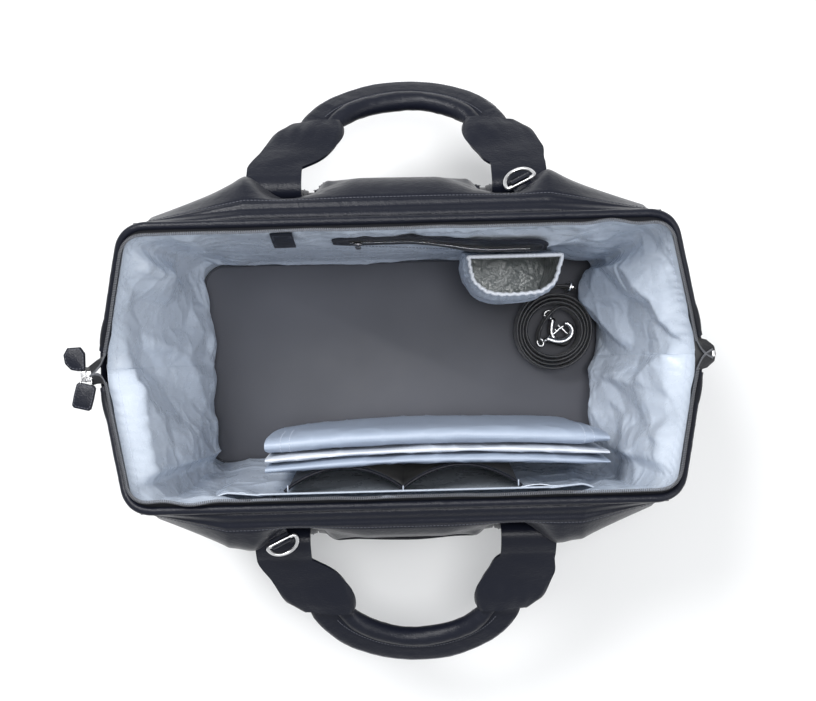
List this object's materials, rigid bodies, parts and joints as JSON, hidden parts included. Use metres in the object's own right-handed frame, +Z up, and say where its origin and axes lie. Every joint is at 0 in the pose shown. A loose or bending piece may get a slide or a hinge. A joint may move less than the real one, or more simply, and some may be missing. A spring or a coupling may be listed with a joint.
{
  "type": "baby changing bag",
  "caption": "wide-mouth changing bag with wire-framed zip mouth, two top handles, lined compartment with pockets, padded changing mat and stowed shoulder strap",
  "frame": {"origin": "middle of the underside of the base", "axes": "+Z up, +Y to the back, +X to the end with the zip stop"},
  "size_m": [0.6, 0.5797, 0.3108],
  "materials": {
    "leather": "fine grained coated leather, soft sheen",
    "lining": "shiny plain-weave nylon",
    "floor_cloth": "dark twill",
    "organiser_cloth": "dark twill",
    "binding": "elastic tape",
    "board": "stiffening board",
    "steel": "drawn wire",
    "chrome": "polished plating",
    "zip_cloth": "woven zip tape",
    "padding": "cord and foam core",
    "mat_cloth": "padded coated cloth",
    "webbing": "flat webbing"
  },
  "bodies": {
    "bag_body": {"base_panel": "leather", "left_gusset": "leather", "right_gusset": "leather", "front_panel": "leather", "back_panel": "leather", "front_anchor_strap_left": "leather", "front_anchor_strap_right": "leather", "back_anchor_strap_left": "leather", "back_anchor_strap_right": "leather", "front_outer_pocket": "leather", "front_d_ring_loop": "leather", "back_d_ring_loop": "leather", "organiser_binding": "leather", "inner_pocket_trim": "leather", "hanging_tab": "leather", "zip_end_tab": "leather", "left_lining": "lining", "right_lining": "lining", "front_lining": "lining", "back_lining": "lining", "slip_pocket": "lining", "bottle_pocket": "lining", "floor_lining": "floor_cloth", "organiser_pocket": "organiser_cloth", "bottle_pocket_binding": "binding", "base_board": "board", "inner_pocket_zip": "steel", "main_zip_slider": "chrome", "zip_end_stop": "chrome", "back_pocket_zip": "zip_cloth", "zip_tail_left": "zip_cloth", "zip_tail_right": "zip_cloth"},
    "front_frame": {"front_rim_casing": "leather", "front_frame_wire": "steel", "front_zip_half": "zip_cloth"},
    "back_frame": {"back_rim_casing": "leather", "back_frame_wire": "steel", "back_zip_half": "zip_cloth"},
    "front_handle": {"front_handle_grip": "leather", "front_handle_core": "padding", "front_handle_strap_left": "leather", "front_handle_strap_right": "leather"},
    "back_handle": {"back_handle_grip": "leather", "back_handle_core": "padding", "back_handle_strap_left": "leather", "back_handle_strap_right": "leather"},
    "front_ring": {"front_d_ring": "chrome"},
    "back_ring": {"back_d_ring": "chrome"},
    "zip_pull": {"zip_pull_ring": "chrome", "zip_pull_tab": "leather"},
    "inner_zip_slider": {"inner_pocket_slider": "chrome"},
    "outer_zip_slider": {"back_pocket_slider": "chrome"},
    "mat": {"changing_mat": "mat_cloth"},
    "carry_strap": {"shoulder_strap": "webbing", "strap_adjuster": "chrome", "hook_a": "chrome", "hook_b": "chrome"},
    "gate_a": {"hook_a_gate": "chrome"},
    "gate_b": {"hook_b_gate": "chrome"}
  },
  "joints": [
    {"name": "front_frame_fold", "type": "hinge", "parent": "bag_body", "child": "front_frame", "pos_m": [0, -0.014, 0.25], "axis": [1, 0, 0], "range_deg": [-66, 0]},
    {"name": "back_frame_fold", "type": "hinge", "parent": "bag_body", "child": "back_frame", "pos_m": [0, 0.014, 0.25], "axis": [-1, 0, 0], "range_deg": [-66, 0]},
    {"name": "front_handle_swing", "type": "hinge", "parent": "bag_body", "child": "front_handle", "pos_m": [0, -0.179, 0.231], "axis": [1, 0, 0], "range_deg": [-121, 45]},
    {"name": "back_handle_swing", "type": "hinge", "parent": "bag_body", "child": "back_handle", "pos_m": [0, 0.179, 0.231], "axis": [-1, 0, 0], "range_deg": [-132, 33]},
    {"name": "front_ring_swing", "type": "hinge", "parent": "bag_body", "child": "front_ring", "pos_m": [-0.113, -0.1595, 0.265], "axis": [0.8988, 0.4384, 0], "range_deg": [-125, 0]},
    {"name": "back_ring_swing", "type": "hinge", "parent": "bag_body", "child": "back_ring", "pos_m": [0.113, 0.1595, 0.265], "axis": [-0.8988, -0.4384, 0], "range_deg": [-125, 0]},
    {"name": "zip_pull_swing", "type": "hinge", "parent": "bag_body", "child": "zip_pull", "pos_m": [-0.2885, -0.006, 0.2538], "axis": [-1, 0, 0], "range_deg": [0, 150]},
    {"name": "inner_pocket_zip_slide", "type": "slide", "parent": "bag_body", "child": "inner_zip_slider", "axis": [1, 0, 0], "range_m": [0, 0.145]},
    {"name": "outer_pocket_zip_slide", "type": "slide", "parent": "bag_body", "child": "outer_zip_slider", "axis": [1, 0, 0], "range_m": [0, 0.137]},
    {"name": "changing_mat_lift", "type": "slide", "parent": "bag_body", "child": "mat", "axis": [0, 0, 1], "range_m": [0, 0.31]},
    {"name": "shoulder_strap_lift", "type": "slide", "parent": "bag_body", "child": "carry_strap", "axis": [0, 0, 1], "range_m": [0, 0.31]},
    {"name": "hook_a_gate_swing", "type": "hinge", "parent": "carry_strap", "child": "gate_a", "pos_m": [0.1685, 0.0241, 0.0358], "axis": [0, 0, -1], "range_deg": [0, 20], "stiffness_Nm_per_rad": 0.0005, "springref_deg": -22.92},
    {"name": "hook_b_gate_swing", "type": "hinge", "parent": "carry_strap", "child": "gate_b", "pos_m": [0.1746, 0.03297, 0.0268], "axis": [0, 0, -1], "range_deg": [0, 20], "stiffness_Nm_per_rad": 0.0005, "springref_deg": -22.92}
  ]
}
